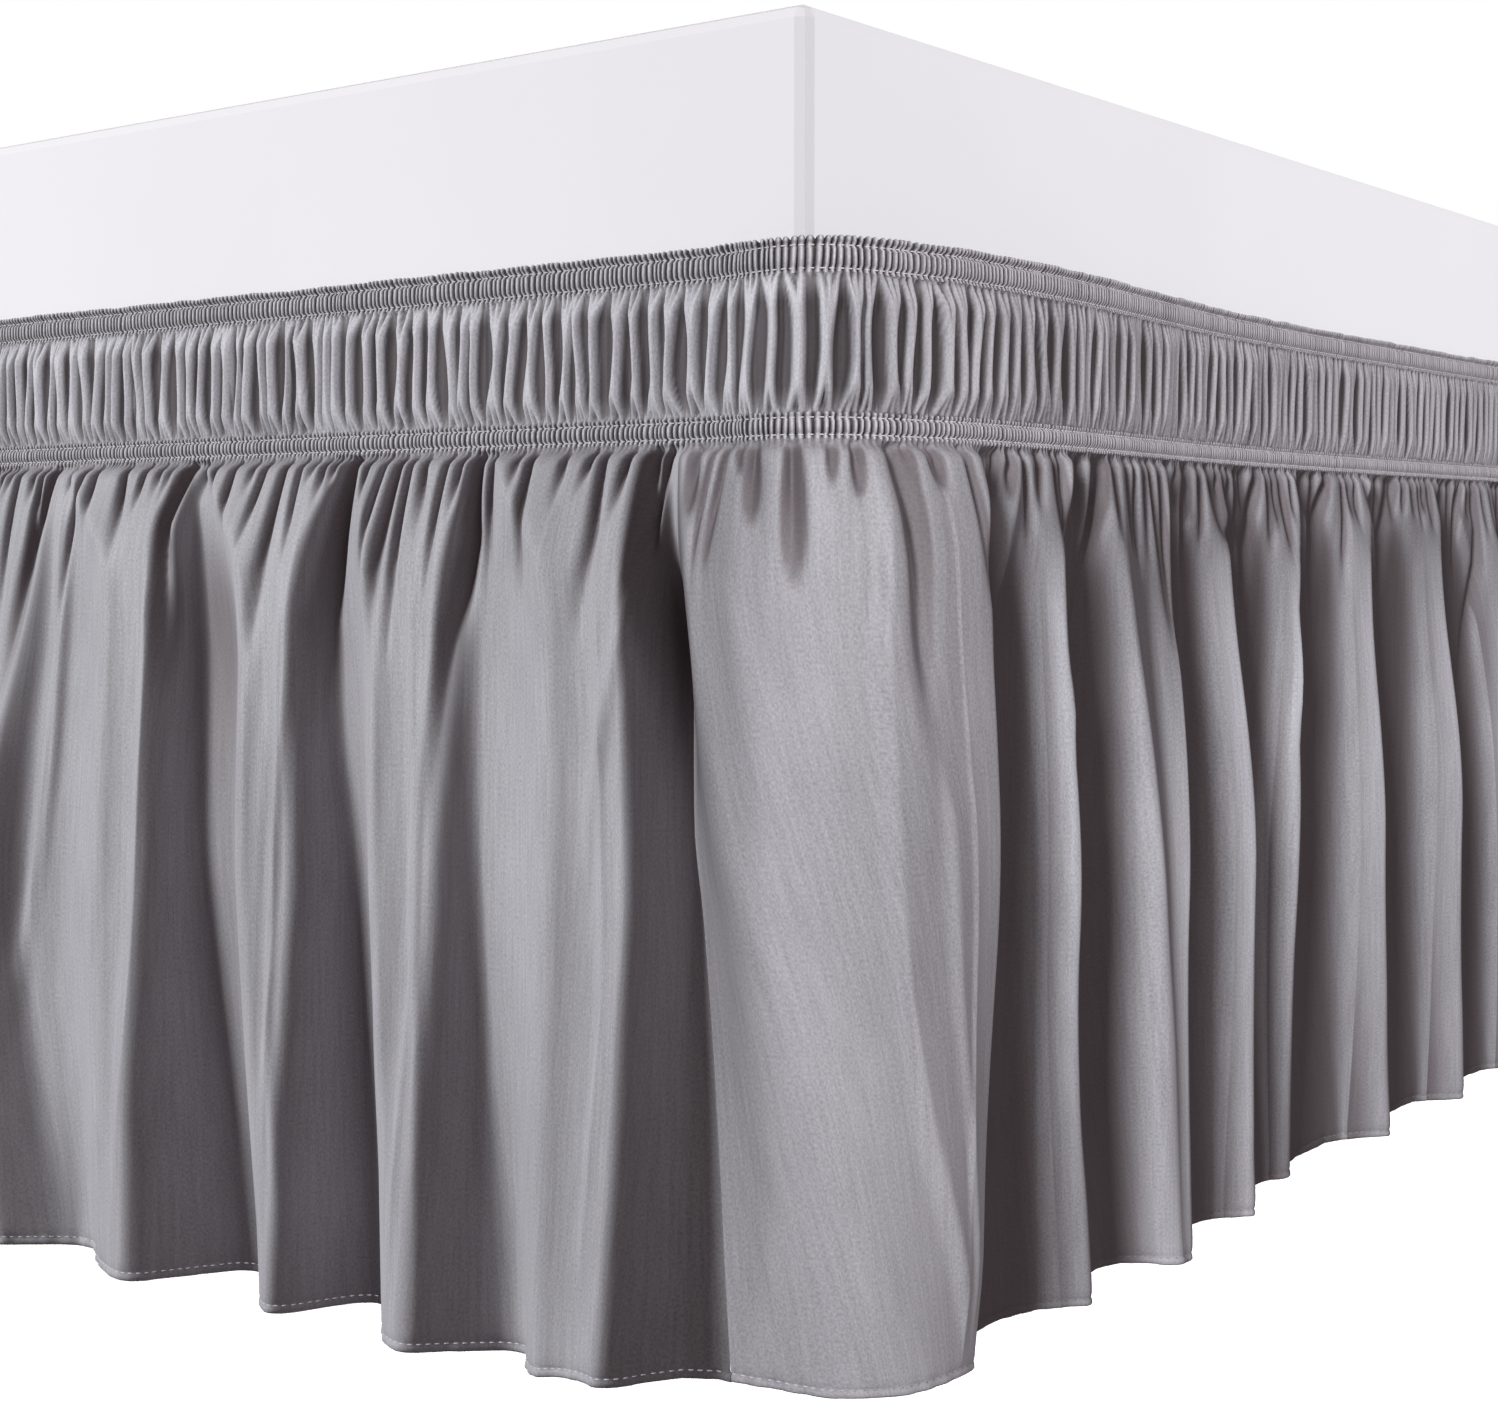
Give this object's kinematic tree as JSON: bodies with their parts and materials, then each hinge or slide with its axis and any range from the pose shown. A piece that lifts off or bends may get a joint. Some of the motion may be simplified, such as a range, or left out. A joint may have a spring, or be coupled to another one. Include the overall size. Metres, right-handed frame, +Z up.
{
  "type": "gathered bed skirt on a box spring",
  "caption": "Gathered elastic bed skirt with shirred bands, a puffed heading and a long ruffle, fitted all round a plain box spring on short legs.",
  "frame": {"origin": "on the floor, under the middle of the box spring", "axes": "+Z up, Y along the bed's length with its foot at -Y, X across the bed"},
  "size_m": [1.0925, 2.024, 0.4945],
  "materials": {
    "skirt_cloth": "grey brushed microfibre with a satin sheen",
    "shirred_band": "grey microfibre shirred in fine ribs",
    "base_ticking": "plain white stretched ticking",
    "leg_wood": "dark lacquer"
  },
  "bodies": {
    "root": {"ruffle_panel_1": "skirt_cloth", "ruffle_panel_2": "skirt_cloth", "ruffle_panel_3": "skirt_cloth", "ruffle_panel_4": "skirt_cloth", "heading": "skirt_cloth", "lower_band": "shirred_band", "upper_band": "shirred_band", "box_spring": "base_ticking", "leg_1": "leg_wood", "leg_2": "leg_wood", "leg_3": "leg_wood", "leg_4": "leg_wood"}
  },
  "joints": []
}
